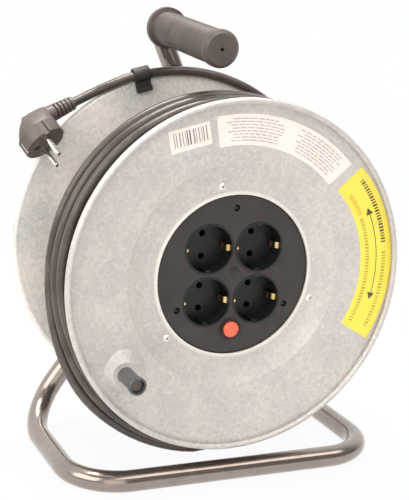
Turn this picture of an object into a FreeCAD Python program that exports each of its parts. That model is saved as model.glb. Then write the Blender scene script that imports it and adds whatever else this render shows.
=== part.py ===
# Extension cord reel on a bent tube stand: a sheet steel drum with four earthed sockets, a crank
# knob, a reset button, fifty metres of rubber cord and an angled plug parked on the rear rim.
# Millimetres. X is to the right, Y goes away from the sockets, Z is up, the floor is Z = 0.
# Every piece is drawn about the drum: X and Z from its axis, Y as depth behind the front bead.
import FreeCAD, Part
import math
import os

# Drum sheet metal
flange_r = 145.0
drum_depth = 156.5
sheet = 1.2
bead_r = 2.2
edge_round = 2.5
ring_depth = 6.0
step_out = 10.5
step_depth = 10.5
inner_depth = 13.5
flat_in = 4.5
dish_sag = 0.45
hole_in = 15.5
hole_lip = 0.8
barrel_r = 82.0
barrel_wall = 1.0
lip_in = 14.0
rivet_in = 7.5
rivet_r = 1.6
rivet_head_r = 2.9
rivet_bore_r = 0.9
rivet_turn = 101.4

# Socket unit
panel_gap = 0.4
panel_recess = 1.6
panel_edge = 0.6
panel_plate = 3.0
panel_rim_in = 2.0
socket_pitch = 43.7
well_r = 19.5
well_depth = 17.5
well_rim = 0.4
cup_wall = 1.5
cup_floor = 2.5
guide_width = 4.5
guide_height = 1.6
pin_spacing = 19.0
pin_r = 2.4
pin_hole_r = 2.75
contact_wall = 0.9
contact_length = 17.5
earth_width = 5.0
earth_sheet = 0.8
earth_bow = 3.6
earth_front = 3.0
box_in = 18.0
box_wall = 2.0
box_back = 62.0
panel_screw_in = 11.1
panel_screw_r = 1.7
panel_screw_head_r = 2.7
panel_screw_seat = 2.4
post_r = 4.4
post_length = 14.0
centre_cap_r = 7.0

# Thermal cut-out with its reset button
button_drop = 45.7
button_r = 6.5
button_proud = 4.0
button_travel = 2.0
button_length = 9.0
bezel_r = 8.8
bezel_proud = 1.2
bezel_wall = 1.2
bezel_length = 10.0
cutout_r = 8.2
cutout_length = 26.0
cutout_wall = 2.0
stem_r = 2.6
stem_disc_r = 4.0
stem_disc = 1.5
spring_wire = 0.7
spring_turns = 4

# Crank knob
knob_angle = -142.0
knob_length = 28.0
knob_base_r = 6.5
knob_end_r = 7.4
knob_collar = 5.0
knob_recess_r = 5.6
knob_recess = 6.0
knob_pin_r = 3.5
knob_pin_head_r = 4.8
knob_pin_head = 2.5
knob_stud_r = 2.5
knob_nut_flats = 9.0
knob_nut_height = 2.6
seat_outer_r = 15.0
seat_inner_r = 10.5
seat_height = 3.0

# Axle, hub and bearings
rim_clearance = 33.5
axle_r = 7.5
stud_r = 5.0
bush_r = 12.0
bush_flange_r = 18.0
bush_flange = 3.0
bush_length = 10.0
hub_depth = 100.0
hub_sheet = 1.5
hub_rim = 8.0
hub_window_r = 16.0
hub_window_circle_r = 48.0
groove_depth = 1.0
groove_width = 1.3
boss_r = 15.0
saddle_r = 11.0
saddle_seat = 2.4
axle_nut_flats = 17.0
axle_nut_height = 8.0
washer = 1.6

# Stand
tube_r = 9.0
tube_wall = 1.5
base_half = 136.0
base_shift = 11.5
bar_depth = 15.0
boss_reach = 22.8
corner_bend = 45.0
top_bend = 20.0
split_share = 0.25
grip_x = -15.0
grip_clearance = 41.6
grip_droop = 7.6
grip_front = 28.0
grip_r = 14.3
grip_groove = 0.9
grip_rings = 18
grip_collar_r = 17.6
grip_collar = 6.0
grip_cap_r = 15.2
grip_cap = 9.0
grip_skin = 3.0
vent_r = 1.5

# Cord, its winding and its inner end
cord_r = 4.0
cord_sides = 6
wind_pitch = 8.8
wind_front = 13.2
pack_under_front = 17.0
pack_under_rear = 41.0
loose_turns = 3.0
loose_depth = 65.0
loose_pitch = 15.0
loose_slide = 34.0
first_slide = 0.33
loose_under = 5.0
loose_sag = 15.6
climb_turn = 0.40
shift_turn = 0.50
loose_lead = 0.15
shift_lead = 0.25
slide_turn = 0.60
wind_end = 300.0
sag_start = 172.0
sag_rise = 50.0
sag_hold = 88.0
sag_fall = 40.0
gland_depth = 45.0
gland_r = 6.0
gland_flange_r = 8.5
lead_x = 30.0

# Plug, its strain relief and the clip on the rim
plug_over_rim = 8.33
plug_angle = 144.61
plug_from_rear = 26.5
pin_way = (0.40, -0.65, -0.65)
cable_way = (0.90, 0.16, 0.39)
plug_face_r = 18.5
plug_disc = 13.0
plug_edge = 1.2
plug_back = 28.5
plug_crown = 18.5
plug_heel = 5.5
plug_top_half = 7.5
plug_neck_r = 7.4
outline_points = 20
plug_bar = 22.0
plug_bar_half = 3.0
plug_bar_proud = 1.5
earth_hole_r = 3.2
earth_hole_in = 8.0
earth_hole_depth = 14.0
cable_line = 22.5
tail_first = 32.0
tail_last = 59.0
relief_start = 21.0
relief_end = 43.0
relief_r = 7.2
relief_tip_r = 5.8
relief_ribs = 6
relief_groove = 0.9
relief_land = 0.55
pin_length = 19.0
pin_root = 8.0
pin_root_r = 2.0
earth_depth = 2.0
clip_width = 14.0
clip_wall = 1.8
clip_arm = 10.5
clip_foot = 4.5
clip_toe = 5.0

# Clearances
running = 0.05
close = 0.1
slack = 0.3

# Places that follow from the sizes above
step_r = barrel_r + step_out
flat_r = barrel_r - flat_in
hole_r = barrel_r - hole_in
lip_inner_r = barrel_r - lip_in
rivet_circle_r = barrel_r - rivet_in
panel_r = hole_r - panel_gap
panel_rim_r = barrel_r - panel_rim_in
panel_screw_circle_r = panel_r - panel_screw_in
box_r = barrel_r - box_in
ring_back = ring_depth + sheet
step_back = step_depth + sheet
inner_back = inner_depth + sheet
lip_back = inner_back + barrel_wall
panel_front = inner_depth + panel_recess
panel_back = lip_back + panel_plate
cup_r = well_r + cup_wall
well_front = panel_front - well_rim
well_floor = well_front + well_depth
cup_back = well_floor + cup_floor
bezel_back = panel_front + bezel_length
stem_disc_front = bezel_back + cutout_wall + close
axle_z = flange_r + rim_clearance
knob_circle_r = (step_r + flange_r) / 2
knob_x = knob_circle_r * math.cos(math.radians(knob_angle))
knob_z = knob_circle_r * math.sin(math.radians(knob_angle))
seat_front = ring_depth - seat_height
seat_back = seat_front + sheet
knob_back = seat_front - slack
knob_front = knob_back - knob_length
knob_recess_floor = knob_front + knob_recess
rear_outside = drum_depth - inner_depth
wind_rear = drum_depth - wind_front - cord_r / 2
pack_front_r = flange_r - pack_under_front
pack_rear_r = flange_r - pack_under_rear
loose_r = flange_r - loose_under
bush_back = rear_outside + bush_flange
boss_front = bush_back + washer + 2 * close
bush_front = hub_depth - bush_flange
ring_clip_back = bush_front - washer - 2 * close
ring_clip_front = ring_clip_back - groove_width + close
leg_depth = boss_front + boss_reach
tube_back = leg_depth + tube_r
saddle_back = tube_back + saddle_seat
stud_end = saddle_back + axle_nut_height + 2 * saddle_seat
grip_back = leg_depth - top_bend - 2 * slack
grip_z = flange_r + grip_clearance
bar_z = tube_r - axle_z
left_x = base_shift - base_half
right_x = base_shift + base_half

# The origin is on the floor, under the middle of the reel without its cord
drum_x = (flange_r - right_x - tube_r) / 2
front_y = (-knob_front - stud_end) / 2
made = {}


def vec(x, y, z=0.0):
    return FreeCAD.Vector(x, y, z)


def polar(radius, degrees, depth=0.0):
    turn = math.radians(degrees)
    return vec(radius * math.cos(turn), depth, radius * math.sin(turn))


def thirds(first):
    return [first, first + 120, first + 240]


def smooth(value):
    value = min(1.0, max(0.0, value))
    return value * value * (3 - 2 * value)


def save(name, shape):
    if isinstance(shape, list):
        shape = Part.Compound(shape)
    shape.translate(vec(drum_x, front_y, axle_z))
    shape.exportStep("parts/" + name + ".step")
    made[name] = shape


# Plain solids

def outline(start, *steps):
    """Closed face in the X-Y plane: a step is a point, or a point on an arc and the arc's end."""
    edges = []
    here = vec(*start)
    for step in steps + (start,):
        if isinstance(step[0], tuple):
            end = vec(*step[1])
            edges.append(Part.Arc(here, vec(*step[0]), end).toShape())
        else:
            end = vec(*step)
            if here.distanceToPoint(end) > 1e-6:
                edges.append(Part.LineSegment(here, end).toShape())
        here = end
    return Part.Face(Part.Wire(edges))


def spun(start, *steps):
    """Solid turned about the Y axis from points of radius and depth."""
    return outline(start, *steps).revolve(vec(0, 0), vec(0, 1), 360)


def rod(radius, front, back, x=0.0, z=0.0):
    return Part.makeCylinder(radius, back - front, vec(x, front, z), vec(0, 1))


def ring(outer, inner, front, back, x=0.0, z=0.0):
    return rod(outer, front, back, x, z).cut(rod(inner, front - 1, back + 1, x, z))


def block(low, high):
    return Part.makeBox(high[0] - low[0], high[1] - low[1], high[2] - low[2], vec(*low))


def hexagon(flats, front, back, x=0.0, z=0.0):
    corners = [polar(flats / math.sqrt(3), 60 * i, front) + vec(x, 0, z) for i in range(7)]
    return Part.Face(Part.makePolygon(corners)).extrude(vec(0, back - front))


def domed(radius, height, seat, outward, x, z):
    """Domed head on a seat: outward is -1 for a head in front of it and 1 for one behind it."""
    ball_r = (radius ** 2 + height ** 2) / (2 * height)
    ball = Part.makeSphere(ball_r, vec(x, seat + outward * (height - ball_r), z))
    low = min(seat, seat + 2 * outward * height)
    return ball.common(rod(2 * radius, low, low + 2 * height, x, z))


# Tubes along straight runs and tangent arcs

def corner_arc(points, radii, i):
    corner = points[i]
    before = (corner - points[i - 1]).normalize()
    after = (points[i + 1] - corner).normalize()
    half = before.getAngle(after) / 2
    reach = radii[i - 1] * math.tan(half)
    inward = (after - before).normalize()
    middle = corner + inward * (radii[i - 1] / math.cos(half) - radii[i - 1])
    return corner - before * reach, middle, corner + after * reach


def rounded(points, radii):
    edges = []
    here = points[0]
    for i in range(1, len(points) - 1):
        start, middle, end = corner_arc(points, radii, i)
        edges.append(Part.LineSegment(here, start).toShape())
        edges.append(Part.Arc(start, middle, end).toShape())
        here = end
    edges.append(Part.LineSegment(here, points[-1]).toShape())
    return edges


def tube(edges, radius, sides=0):
    path = Part.Wire(edges)
    first = path.Edges[0]
    start = first.valueAt(first.FirstParameter)
    along = first.tangentAt(first.FirstParameter)
    if sides:
        across = along.cross(vec(0, 1)).normalize()
        up = along.cross(across)
        corners = []
        for i in range(sides + 1):
            turn = 2 * math.pi * i / sides
            corners.append(start + across * (radius * math.cos(turn)) + up * (radius * math.sin(turn)))
        section = Part.makePolygon(corners)
    else:
        section = Part.Wire(Part.Circle(start, along, radius).toShape())
    return path.makePipeShell([section], True, False)


# Sheet steel drum

def flange(place, hub):
    """Dished sheet with its rim turned out to a rolled bead; place turns a depth into a drum depth."""
    wall_r = flange_r - sheet
    bead_x = flange_r - bead_r
    bend = ring_back - edge_round
    bead_foot = bead_r + math.sqrt(bead_r ** 2 - (wall_r - bead_x) ** 2)
    inside = edge_round - sheet
    dish_r = (flat_r + step_r) / 2
    dish_depth = (inner_depth + step_depth) / 2 + dish_sag

    def on_arc(centre_r, centre, radius, degrees):
        turn = math.radians(degrees)
        return centre_r + radius * math.cos(turn), place(centre + radius * math.sin(turn))

    def on_bead(degrees):
        return on_arc(bead_x, bead_r, bead_r, degrees)

    def on_bend(radius, degrees):
        return on_arc(flange_r - edge_round, bend, radius, degrees)

    steps = [(flat_r, place(inner_depth)), ((dish_r, place(dish_depth)), (step_r, place(step_depth))),
             (flange_r - edge_round, place(ring_depth)), (on_bend(inside, 45), on_bend(inside, 0)),
             (wall_r, place(bead_foot)), (on_bead(160), on_bead(270)), (on_bead(315), on_bead(360)),
             (flange_r, place(bend)), (on_bend(edge_round, 45), on_bend(edge_round, 90)),
             (step_r, place(step_back)), ((dish_r, place(dish_depth + sheet)), (flat_r, place(inner_back)))]
    return spun(*(hub + steps))


def rivet_holes(front, back):
    holes = []
    for angle in thirds(rivet_turn):
        spot = polar(rivet_circle_r, angle)
        holes.append(rod(rivet_r + running, front, back, spot.x, spot.z))
    return holes


def rivets(head_seat, tail_seat):
    outward = -1 if head_seat < tail_seat else 1
    group = []
    for angle in thirds(rivet_turn):
        spot = polar(rivet_circle_r, angle)
        shank = rod(rivet_r, min(head_seat, tail_seat), max(head_seat, tail_seat), spot.x, spot.z)
        head = domed(rivet_head_r, sheet, head_seat, outward, spot.x, spot.z)
        tail = domed(rivet_head_r, sheet, tail_seat, -outward, spot.x, spot.z)
        blind = rod(rivet_bore_r, head_seat - 2 * sheet, head_seat + 2 * sheet, spot.x, spot.z)
        group.append(shank.fuse([head, tail]).cut(blind).removeSplitter())
    return group


def front_flange():
    lip_front = inner_depth - hole_lip
    lip_r = hole_r + sheet
    hub = [(hole_r, inner_back), (hole_r, lip_front),
           ((hole_r + sheet / 2, lip_front - sheet / 3), (lip_r, lip_front)), (lip_r, inner_depth)]
    plate = flange(lambda depth: depth, hub).cut(knob_seat(0))
    wall = knob_seat(0).cut(knob_seat(sheet))
    wall = wall.common(spun((step_r, 0), (flange_r - edge_round, 0), (flange_r - edge_round, ring_back),
                            (step_r, step_back)))
    plate = plate.fuse(wall).removeSplitter()
    plate = plate.cut(rod(knob_stud_r + close, 0, drum_depth, knob_x, knob_z))
    return plate.cut(rivet_holes(0, drum_depth / 2))


def knob_seat(inward):
    """Cone that the raised seat under the knob follows, deeper by the sheet for its inside."""
    deep = seat_front + 2 * seat_height
    foot_r = seat_inner_r + 2 * (seat_outer_r - seat_inner_r)
    cone = spun((0, seat_front + inward), (seat_inner_r, seat_front + inward), (foot_r, deep + inward),
                (0, deep + inward))
    return at_knob(cone)


def rear_flange():
    bore = bush_r + running
    hub = [(bore, drum_depth - inner_back), (bore, rear_outside)]
    plate = flange(lambda depth: drum_depth - depth, hub)
    return plate.cut(rivet_holes(drum_depth / 2, drum_depth))


def drum_barrel():
    rear_end = drum_depth - inner_back
    rear_lip = drum_depth - lip_back
    inside = barrel_r - barrel_wall
    shell = spun((lip_inner_r, inner_back), (barrel_r, inner_back), (barrel_r, rear_end),
                 (lip_inner_r, rear_end), (lip_inner_r, rear_lip), (inside, rear_lip),
                 (inside, lip_back), (lip_inner_r, lip_back))
    shell = shell.cut(rivet_holes(0, drum_depth))
    return shell.cut(Part.makeCylinder(gland_r + running, barrel_r, vec(0, gland_depth, 0), vec(1, 0)))


def hub_disc():
    rim = barrel_r - barrel_wall - running
    inside = rim - hub_sheet
    plate_back = hub_depth + hub_sheet
    bore = bush_r + running
    disc = spun((bore, hub_depth), (rim, hub_depth), (rim, hub_depth + hub_rim),
                (inside, hub_depth + hub_rim), (inside, plate_back), (bore, plate_back))
    windows = []
    for angle in (45, 135, 225, 315):
        spot = polar(hub_window_circle_r, angle)
        windows.append(rod(hub_window_r, hub_depth - 1, plate_back + 1, spot.x, spot.z))
    return disc.cut(windows)


def bush(flange_outside, inward):
    """Flanged bearing bush: inward is the way that its sleeve points."""
    seat = flange_outside + inward * bush_flange
    end = seat + inward * bush_length
    bore = axle_r + running
    return spun((bore, flange_outside), (bush_flange_r, flange_outside), (bush_flange_r, seat),
                (bush_r, seat), (bush_r, end), (bore, end))


# Socket unit

def socket_centres():
    half = socket_pitch / 2
    return [(-half, half), (half, half), (-half, -half), (half, -half)]


def socket_panel():
    panel = spun((0, panel_front), (panel_r - panel_edge, panel_front), (panel_r, panel_front + panel_edge),
                 (panel_r, lip_back), (panel_rim_r, lip_back), (panel_rim_r, panel_back), (0, panel_back))
    holes = rivet_holes(0, drum_depth / 2)
    for x, z in socket_centres():
        holes.append(rod(cup_r + close, 0, box_back, x, z))
    holes.append(rod(centre_cap_r / 2 + running, 0, box_back))
    holes.append(rod(bezel_sleeve_r + close, 0, box_back, 0, -button_drop))
    for spot in screw_spots():
        holes.append(rod(panel_screw_r + close, 0, box_back, spot.x, spot.z))
        holes.append(rod(panel_screw_head_r + close, 0, panel_front + panel_screw_seat, spot.x, spot.z))
    return panel.cut(holes)


def screw_spots():
    return [polar(panel_screw_circle_r, angle) for angle in thirds(90)]


def panel_screws():
    group = []
    for spot in screw_spots():
        seat = panel_front + panel_screw_seat
        head = domed(panel_screw_head_r, sheet, seat, -1, spot.x, spot.z)
        shank = rod(panel_screw_r, seat, panel_back + post_length - 2 * sheet, spot.x, spot.z)
        group.append(shank.fuse(head))
    return group


def earth_x():
    return math.sqrt(well_r ** 2 - (earth_width / 2) ** 2) - close


def socket_cup(x, z):
    shoulder = cup_r + 5 * close
    cup = rod(cup_r, well_front, cup_back, x, z)
    cup = cup.fuse(rod(shoulder, panel_back, panel_back + cup_wall, x, z))
    cup = cup.cut(rod(well_r, well_front - 1, well_floor, x, z))
    for side in (-1, 1):
        rim = z + side * well_r
        rib = block((x - guide_width / 2, well_front + guide_height, rim - guide_height),
                    (x + guide_width / 2, well_floor, rim + guide_height))
        cup = cup.fuse(rib.common(rod(well_r + cup_wall / 2, well_front, cup_back, x, z)))
        cup = cup.cut(rod(pin_hole_r, well_floor - 1, cup_back + 1, x, z + side * pin_spacing / 2))
        slot_x = x + side * (earth_x() - earth_sheet / 2)
        cup = cup.cut(block((slot_x - earth_sheet / 2 - close, well_floor - 1, z - earth_width / 2 - close),
                            (slot_x + earth_sheet / 2 + close, cup_back + 1, z + earth_width / 2 + close)))
    return cup.removeSplitter()


def earth_contacts(x, z):
    outer = earth_x()
    inner = outer - earth_sheet
    front = well_front + earth_front
    middle = (front + well_floor) / 2
    foot = cup_back + cup_wall
    pair = []
    for side in (-1, 1):
        strip = outline((side * inner, foot), (side * outer, foot), (side * outer, well_floor),
                        ((side * (outer - earth_bow), middle), (side * outer, front)),
                        (side * inner, front),
                        ((side * (inner - earth_bow), middle), (side * inner, well_floor)))
        strip = strip.extrude(vec(0, 0, earth_width))
        strip.translate(vec(x, 0, z - earth_width / 2))
        pair.append(strip)
    return pair


def pin_contacts(x, z):
    outer = pin_hole_r + contact_wall
    back = cup_back + contact_length
    return [ring(outer, pin_hole_r, cup_back, back, x, z + side * pin_spacing / 2) for side in (-1, 1)]


def terminal_housing():
    inner_r = box_r - box_wall
    floor_front = box_back - box_wall
    box = spun((inner_r, panel_back), (box_r, panel_back), (box_r, box_back), (0, box_back),
               (0, floor_front), (inner_r, floor_front))
    for angle in thirds(90):
        post = rod(post_r, panel_back, panel_back + post_length, panel_screw_circle_r)
        web = block((panel_screw_circle_r, panel_back, -box_wall / 2),
                    (box_r - box_wall / 2, panel_back + post_length, box_wall / 2))
        post = post.fuse(web)
        post.rotate(vec(0, 0), vec(0, 1), -angle)
        box = box.fuse(post)
    for spot in screw_spots():
        box = box.cut(rod(panel_screw_r + running, 0, panel_back + post_length, spot.x, spot.z))
    return box.cut(Part.makeCylinder(cord_r + close, box_r, vec(lead_x, gland_depth, 0), vec(1, 0)))


def centre_cap():
    stud = rod(centre_cap_r / 2, panel_front, panel_back)
    return stud.fuse(domed(centre_cap_r, sheet, panel_front, -1, 0, 0))


# Reset button on the thermal cut-out

bezel_bore = button_r + close
bezel_sleeve_r = bezel_bore + bezel_wall
button_back = panel_front - button_proud + button_length


def lowered(shape):
    shape.translate(vec(0, 0, -button_drop))
    return shape


def button_bezel():
    front = panel_front - bezel_proud
    return lowered(spun((bezel_bore, front), (bezel_r - close, front), (bezel_r, front + close),
                        (bezel_r, panel_front), (bezel_sleeve_r, panel_front),
                        (bezel_sleeve_r, bezel_back), (bezel_bore, bezel_back)))


def reset_button():
    front = button_back - button_length
    disc_back = stem_disc_front + stem_disc
    return lowered(spun((0, front), (button_r - sheet, front), (button_r, front + sheet),
                        (button_r, button_back), (stem_r, button_back), (stem_r, stem_disc_front),
                        (stem_disc_r, stem_disc_front), (stem_disc_r, disc_back), (0, disc_back)))


def thermal_cutout():
    cavity_r = stem_disc_r + slack
    cavity_front = bezel_back + cutout_wall
    cavity_back = stem_disc_front + stem_disc + button_travel + slack
    bore = stem_r + running
    back = bezel_back + cutout_length
    return lowered(spun((bore, bezel_back), (cutout_r, bezel_back), (cutout_r, back), (0, back),
                        (0, cavity_back), (cavity_r, cavity_back), (cavity_r, cavity_front),
                        (bore, cavity_front)))


def button_spring():
    """Square wire: a hidden spring between the button and the cut-out."""
    coil_r = (stem_r + button_r) / 2
    length = bezel_back - button_back - spring_wire - 2 * close
    helix = Part.makeHelix(length / spring_turns, length, coil_r)
    half = spring_wire / 2
    section = Part.makePolygon([vec(coil_r - half, 0, -half), vec(coil_r + half, 0, -half),
                                vec(coil_r + half, 0, half), vec(coil_r - half, 0, half),
                                vec(coil_r - half, 0, -half)])
    coil = Part.Wire(helix.Edges).makePipeShell([section], True, True)
    coil.rotate(vec(0, 0), vec(1, 0), -90)
    coil.translate(vec(0, button_back + half + close, 0))
    return lowered(coil)


# Crank knob on its shoulder screw

def at_knob(shape):
    shape.translate(vec(knob_x, 0, knob_z))
    return shape


def crank_knob():
    bore = knob_pin_r + running
    collar = knob_front + knob_collar
    edge = knob_end_r - knob_base_r
    return at_knob(spun((bore, knob_back), (knob_base_r, knob_back), (knob_base_r, collar),
                        (knob_end_r, collar - edge), (knob_end_r, knob_front + edge),
                        (knob_end_r - edge, knob_front), (knob_recess_r, knob_front),
                        (knob_recess_r, knob_recess_floor), (bore, knob_recess_floor)))


def knob_pin():
    head_back = knob_recess_floor - close
    head_front = head_back - knob_pin_head
    end = seat_back + washer / 2 + knob_nut_height + slack
    return at_knob(spun((0, head_front), (knob_pin_head_r, head_front), (knob_pin_head_r, head_back),
                        (knob_pin_r, head_back), (knob_pin_r, seat_front), (knob_stud_r, seat_front),
                        (knob_stud_r, end), (0, end)))


def knob_nut():
    back = seat_back + washer / 2
    plate = rod(knob_nut_flats / math.sqrt(3) + slack, seat_back, back)
    nut = plate.fuse(hexagon(knob_nut_flats, back, back + knob_nut_height))
    return at_knob(nut.cut(rod(knob_stud_r + running, 0, drum_depth)))


# Axle and what carries the drum on it

def axle():
    groove_r = axle_r - groove_depth
    groove_back = ring_clip_front + groove_width
    front = ring_clip_front - 2 * washer
    return spun((0, front), (axle_r - close, front), (axle_r, front + close),
                (axle_r, ring_clip_front), (groove_r, ring_clip_front), (groove_r, groove_back),
                (axle_r, groove_back), (axle_r, boss_front), (stud_r, boss_front),
                (stud_r, stud_end), (0, stud_end))


def retaining_ring():
    inner = axle_r - groove_depth + running
    clip = ring(axle_r + 2 * groove_depth, inner, ring_clip_front + running, ring_clip_back)
    return clip.cut(block((-stud_r, ring_clip_front, -2 * axle_r), (stud_r, ring_clip_back + 1, 0)))


def axle_washer():
    return ring(bush_flange_r - slack, axle_r + close, bush_front - close - washer, bush_front - close)


def thrust_washer():
    return ring(boss_r, axle_r + close, bush_back + close, bush_back + close + washer)


def left_leg_rod():
    """Solid as thick as the left leg, for the saddles that fit round it."""
    low = vec(left_x, leg_depth, bar_z)
    high = vec(0, leg_depth, 0) * 2 - vec(left_x, leg_depth, bar_z)
    return Part.makeCylinder(tube_r, (high - low).Length, low, high - low)


def axle_boss():
    boss = ring(boss_r, stud_r + close, boss_front, leg_depth - washer)
    return boss.cut(left_leg_rod())


def rear_saddle():
    saddle = ring(saddle_r, stud_r + close, leg_depth + washer, saddle_back)
    return saddle.cut(left_leg_rod())


def axle_nut():
    nut = hexagon(axle_nut_flats, saddle_back, saddle_back + axle_nut_height)
    return nut.cut(rod(stud_r + running, saddle_back - 1, stud_end + 1))


# Stand

def grip_line():
    """The grip's axis: its rear end, its front end and its droop in degrees."""
    slope = grip_droop / (leg_depth - grip_front)
    back = vec(grip_x, grip_back, grip_z - slope * (leg_depth - grip_back))
    front = vec(grip_x, grip_front, grip_z - grip_droop)
    return back, front, math.degrees(math.atan(slope))


def weld_point():
    """Where the left leg's line meets the right leg's."""
    foot = vec(right_x, leg_depth, bar_z)
    rise = vec(grip_x, leg_depth, grip_z) - foot
    share = (foot.z * left_x - foot.x * bar_z) / (rise.x * bar_z - rise.z * left_x)
    return foot + rise * share


def frame_tube():
    low = vec(left_x, leg_depth, bar_z)
    front = grip_line()[1]
    axle_point = vec(0, leg_depth, 0)
    split = axle_point + (low - axle_point) * split_share
    end = front + (vec(grip_x, leg_depth, grip_z) - front).normalize() * (grip_skin + slack)
    route = [split, low, vec(left_x, bar_depth, bar_z), vec(right_x, bar_depth, bar_z),
             vec(right_x, leg_depth, bar_z), vec(grip_x, leg_depth, grip_z), end]
    edges = rounded(route, [corner_bend] * 4 + [top_bend])
    weld = weld_point()
    foot = vec(right_x, leg_depth, bar_z)
    head = vec(grip_x, leg_depth, grip_z)
    right_leg = Part.makeCylinder(tube_r, (head - foot).Length, foot, head - foot)
    bore_r = tube_r - tube_wall
    upper = Part.makeCylinder(tube_r, (weld - split).Length, split, weld - split).cut(right_leg)
    upper_bore = Part.makeCylinder(bore_r, (weld - split).Length, split, weld - split).cut(right_leg)
    frame = tube(edges, tube_r).fuse(upper).removeSplitter()
    frame = frame.cut(tube(edges, bore_r)).cut(upper_bore)
    return frame.cut(rod(stud_r + close, leg_depth - 2 * tube_r, leg_depth + 2 * tube_r))


def grip():
    back, front, droop = grip_line()
    length = (front - back).Length
    bore = tube_r + running
    first = grip_collar + grip_groove
    pitch = (length - first - grip_cap) / grip_rings
    steps = [(bore, 0), (grip_collar_r - grip_groove, 0), (grip_collar_r, grip_groove),
             (grip_collar_r, grip_collar), (grip_r, first)]
    for i in range(grip_rings):
        steps.append((grip_r - grip_groove, first + (i + 0.5) * pitch))
        steps.append((grip_r, first + (i + 1) * pitch))
    steps += [(grip_cap_r, length - grip_cap + grip_groove), (grip_cap_r, length - 3 * grip_groove),
              (grip_cap_r - 3 * grip_groove, length), (vent_r, length),
              (vent_r, length - grip_skin), (bore, length - grip_skin)]
    handle = spun(*[(radius, -along) for radius, along in steps])
    handle.rotate(vec(0, 0), vec(1, 0), droop)
    handle.translate(back)
    return handle


# Cord wound on the barrel

tight_turns = (wind_rear - wind_front) / wind_pitch
loose_start = tight_turns + loose_lead
shift_start = tight_turns + shift_lead
wind_turns = loose_start + loose_turns


def wind_point(turn):
    """Centre of the cord, so many turns after its start at the rear flange."""
    share = min(1.0, turn / tight_turns)
    depth = wind_rear + (wind_front - wind_rear) * share
    radius = pack_rear_r + (pack_front_r - pack_rear_r) * share
    radius += (loose_r - pack_front_r) * smooth((turn - tight_turns) / climb_turn)
    angle = wind_end + 360 * (turn - wind_turns)
    since_low = (angle - sag_start) % 360
    sag = smooth(since_low / sag_rise) - smooth((since_low - sag_hold) / sag_fall)
    loose = turn - loose_start
    grown = max(0.0, loose) / loose_turns
    slide = loose_slide * sag * (first_slide + (1 - first_slide) * grown) * smooth(loose / slide_turn)
    loose_line = loose_depth - (loose_turns - loose) * loose_pitch - slide
    depth += (loose_line - depth) * smooth((turn - shift_start) / shift_turn)
    radius += loose_sag * sag * grown ** 1.5
    return polar(radius, angle, depth)


def wind_heading(turn):
    return (wind_point(turn + 1e-4) - wind_point(turn - 1e-4)).normalize()


def arc_between(start, corner, end):
    """Arc that leaves the start and meets the end along the lines to their common corner."""
    middle = (start + end) * 0.5
    side = (corner - start).Length
    half = (middle - start).Length
    rise = corner.distanceToPoint(middle)
    if rise < 1e-6:
        return Part.LineSegment(start, end).toShape()
    over = half * (side - half) / rise
    return Part.Arc(start, middle + (corner - middle) * (over / rise), end).toShape()


def biarc(start, heading, end, end_heading):
    """Two arcs that meet smoothly, from one point and heading to another."""
    gap = end - start
    both = heading + end_heading
    square = 2 * (1 - heading.dot(end_heading))
    linear = 2 * gap.dot(both)
    reach = (-linear + math.sqrt(linear ** 2 + 4 * square * gap.dot(gap))) / (2 * square)
    first = start + heading * reach
    second = end - end_heading * reach
    joint = (first + second) * 0.5
    return [arc_between(start, first, joint), arc_between(joint, second, end)]


def cord_winding():
    quarters = math.ceil(wind_turns * 4)
    stops = [wind_turns * i / quarters for i in range(quarters + 1)]
    first = wind_point(0)
    last = wind_point(wind_turns)
    run = 2 * cord_r
    edges = [Part.LineSegment(first - wind_heading(0) * run, first).toShape()]
    for here, there in zip(stops, stops[1:]):
        edges += biarc(wind_point(here), wind_heading(here), wind_point(there), wind_heading(there))
    edges.append(Part.LineSegment(last, wind_end_point()).toShape())
    report_gap(edges)
    return tube(edges, cord_r, cord_sides)


def wind_end_point():
    return wind_point(wind_turns) + wind_heading(wind_turns) * (2 * cord_r)


def report_gap(edges):
    """Least gap of the winding to itself, on points along its centre line."""
    across = 2 * cord_r
    points = []
    for edge in edges:
        count = max(2, int(edge.Length / across))
        points += [(p.x, p.y, p.z) for p in edge.discretize(count)[:-1]]
    least = flange_r ** 2
    apart = int(pack_rear_r / across)
    for i in range(len(points) - apart):
        x, y, z = points[i]
        for other in points[i + apart:]:
            if abs(other[1] - y) < 2 * across:
                square = (other[0] - x) ** 2 + (other[1] - y) ** 2 + (other[2] - z) ** 2
                least = min(least, square)
    print("winding: %d turns, least gap to itself %.2f mm" % (wind_turns, math.sqrt(least) - across))


def winding_core():
    """The inner layers of cord, as one body under the outer layer."""
    inner = barrel_r + slack
    front = inner_back + slack
    rear = drum_depth - front
    top = cord_r + 2 * slack
    return spun((inner, front), (pack_front_r - top, front), (pack_rear_r - top, rear), (inner, rear))


# Inner end of the cord, from the winding into the housing

def along_x(shape):
    """Turns a solid spun about Y to lie along X, level with the inner lead."""
    shape.rotate(vec(0, 0), vec(0, 0, 1), -90)
    shape.translate(vec(0, gland_depth, 0))
    return shape


def lead_gland():
    bore = cord_r + running
    seat = math.sqrt((barrel_r - barrel_wall) ** 2 - gland_flange_r ** 2)
    end = math.sqrt(barrel_r ** 2 - gland_r ** 2)
    return along_x(spun((bore, seat - washer), (gland_flange_r, seat - washer), (gland_flange_r, seat),
                        (gland_r, seat), (gland_r, end), (bore, end)))


def inner_lead():
    return along_x(rod(cord_r, box_r - 4 * box_wall, barrel_r))


# Plug parked behind the rear rim

plug_centre = polar(flange_r + plug_over_rim, plug_angle, drum_depth - plug_from_rear)
pins_forward = vec(*pin_way).normalize()
cable_out = vec(*cable_way)
cable_out = (cable_out - pins_forward * cable_out.dot(pins_forward)).normalize()
pins_across = pins_forward.cross(cable_out)


def plug_point(along, across, ahead):
    """Point in the plug's own axes: along its cable, across its pins, ahead of its face."""
    return plug_centre + cable_out * along + pins_across * across + pins_forward * ahead


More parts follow.
